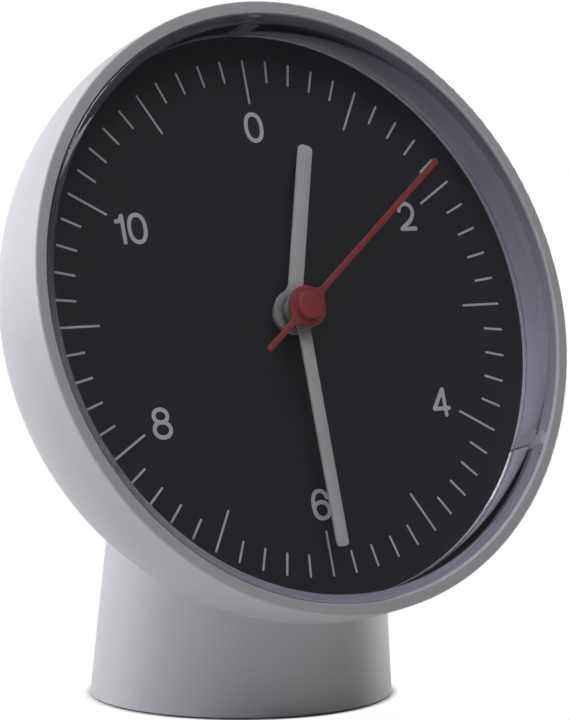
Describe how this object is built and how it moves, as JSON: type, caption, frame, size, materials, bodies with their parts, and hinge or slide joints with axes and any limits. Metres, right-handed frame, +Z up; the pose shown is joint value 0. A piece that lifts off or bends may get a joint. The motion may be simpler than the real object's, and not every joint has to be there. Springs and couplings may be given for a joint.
{
  "type": "table clock",
  "caption": "Battery table clock: tilted round bowl head with recessed dark dial and three hands, on a tapered round base.",
  "frame": {"origin": "centre of the foot on the table", "axes": "+Z up, -Y towards the reader, +X to the reader's right"},
  "size_m": [0.1, 0.0608, 0.1126],
  "materials": {
    "head_paint": "satin light grey moulding, fine texture",
    "lens_clear": "clear acrylic, polished",
    "dial_black": "matt near-black with grey print",
    "hand_grey": "satin grey paint",
    "hand_red": "satin red paint",
    "case_plastic": "black moulded plastic",
    "gear_white": "natural acetal",
    "gear_brass": "turned brass",
    "steel": "plated steel",
    "iron": "blackened iron",
    "copper": "enamelled copper wire, wound",
    "board": "green circuit board",
    "epoxy": "black epoxy",
    "battery_wrap": "plain printed film sleeve with bare steel ends",
    "rubber_foot": "soft rubber"
  },
  "bodies": {
    "clock_body": {"head_shell": "head_paint", "lens": "lens_clear", "dial": "dial_black", "movement_case": "case_plastic", "movement_back": "case_plastic", "train_bridge": "case_plastic", "stator": "steel", "coil_bobbin": "gear_white", "coil_winding": "copper", "circuit_board": "board", "ic_chip": "epoxy", "quartz_crystal": "steel", "battery_contact_plus": "steel", "battery_contact_minus": "steel", "movement_screws": "steel", "base_shell": "head_paint", "base_weight": "iron", "bottom_plate": "case_plastic", "base_screws": "steel", "foot_pad": "rubber_foot", "head_bolts": "steel", "head_washers": "steel", "head_nuts": "steel"},
    "second_train": {"second_hand": "hand_red", "second_shaft": "steel", "second_wheel": "gear_white"},
    "minute_train": {"minute_hand": "hand_grey", "minute_pipe": "gear_brass", "minute_wheel": "gear_white"},
    "hour_train": {"hour_hand": "hand_grey", "hour_wheel": "gear_white"},
    "third": {"third_wheel": "gear_white"},
    "intermediate": {"intermediate_wheel": "gear_white"},
    "rotor": {"rotor_pinion": "gear_white", "rotor_magnet": "iron"},
    "transfer": {"transfer_wheel": "gear_white"},
    "setting": {"setting_shaft": "gear_white", "setting_knob": "case_plastic"},
    "cover": {"rear_cover": "head_paint"},
    "cell": {"battery": "battery_wrap"}
  },
  "joints": [
    {"name": "minute_spin", "type": "hinge", "parent": "clock_body", "child": "minute_train", "pos_m": [0, -0.00657, 0.0605], "axis": [0, 0.9519, -0.3065], "continuous": true},
    {"name": "second_spin", "type": "hinge", "parent": "clock_body", "child": "second_train", "pos_m": [0, -0.00372, 0.05958], "axis": [0, 0.9519, -0.3065], "continuous": true},
    {"name": "hour_spin", "type": "hinge", "parent": "clock_body", "child": "hour_train", "pos_m": [0, -0.00943, 0.06142], "axis": [0, 0.9519, -0.3065], "continuous": true},
    {"name": "third_spin", "type": "hinge", "parent": "clock_body", "child": "third", "pos_m": [-0.00555, -0.0067, 0.05359], "axis": [0, 0.9519, -0.3065], "continuous": true},
    {"name": "intermediate_spin", "type": "hinge", "parent": "clock_body", "child": "intermediate", "pos_m": [0.00375, -0.0038, 0.05279], "axis": [0, 0.9519, -0.3065], "continuous": true},
    {"name": "rotor_spin", "type": "hinge", "parent": "clock_body", "child": "rotor", "pos_m": [0.00811, -0.00514, 0.04864], "axis": [0, 0.9519, -0.3065], "continuous": true},
    {"name": "transfer_spin", "type": "hinge", "parent": "clock_body", "child": "transfer", "pos_m": [-0.00835, -0.00684, 0.06294], "axis": [0, 0.9519, -0.3065], "continuous": true},
    {"name": "setting_spin", "type": "hinge", "parent": "clock_body", "child": "setting", "pos_m": [-0.01676, 0.00417, 0.0645], "axis": [0, 0.9519, -0.3065], "continuous": true},
    {"name": "cover_pull", "type": "slide", "parent": "clock_body", "child": "cover", "axis": [0, 0.9519, -0.3065], "range_m": [0, 0.06]},
    {"name": "cell_lift", "type": "slide", "parent": "clock_body", "child": "cell", "axis": [0, 0.9519, -0.3065], "range_m": [0, 0.036]}
  ],
  "couplings": [
    {"joint": "minute_spin", "follows": "second_spin", "ratio": 0.016667},
    {"joint": "hour_spin", "follows": "second_spin", "ratio": 0.0013889},
    {"joint": "third_spin", "follows": "second_spin", "ratio": -0.13333},
    {"joint": "intermediate_spin", "follows": "second_spin", "ratio": -5},
    {"joint": "rotor_spin", "follows": "second_spin", "ratio": 30},
    {"joint": "transfer_spin", "follows": "second_spin", "ratio": -0.0055556},
    {"joint": "setting_spin", "follows": "second_spin", "ratio": 0.011111},
    {"joint": "cell_lift", "follows": "cover_pull", "ratio": 0.6}
  ]
}
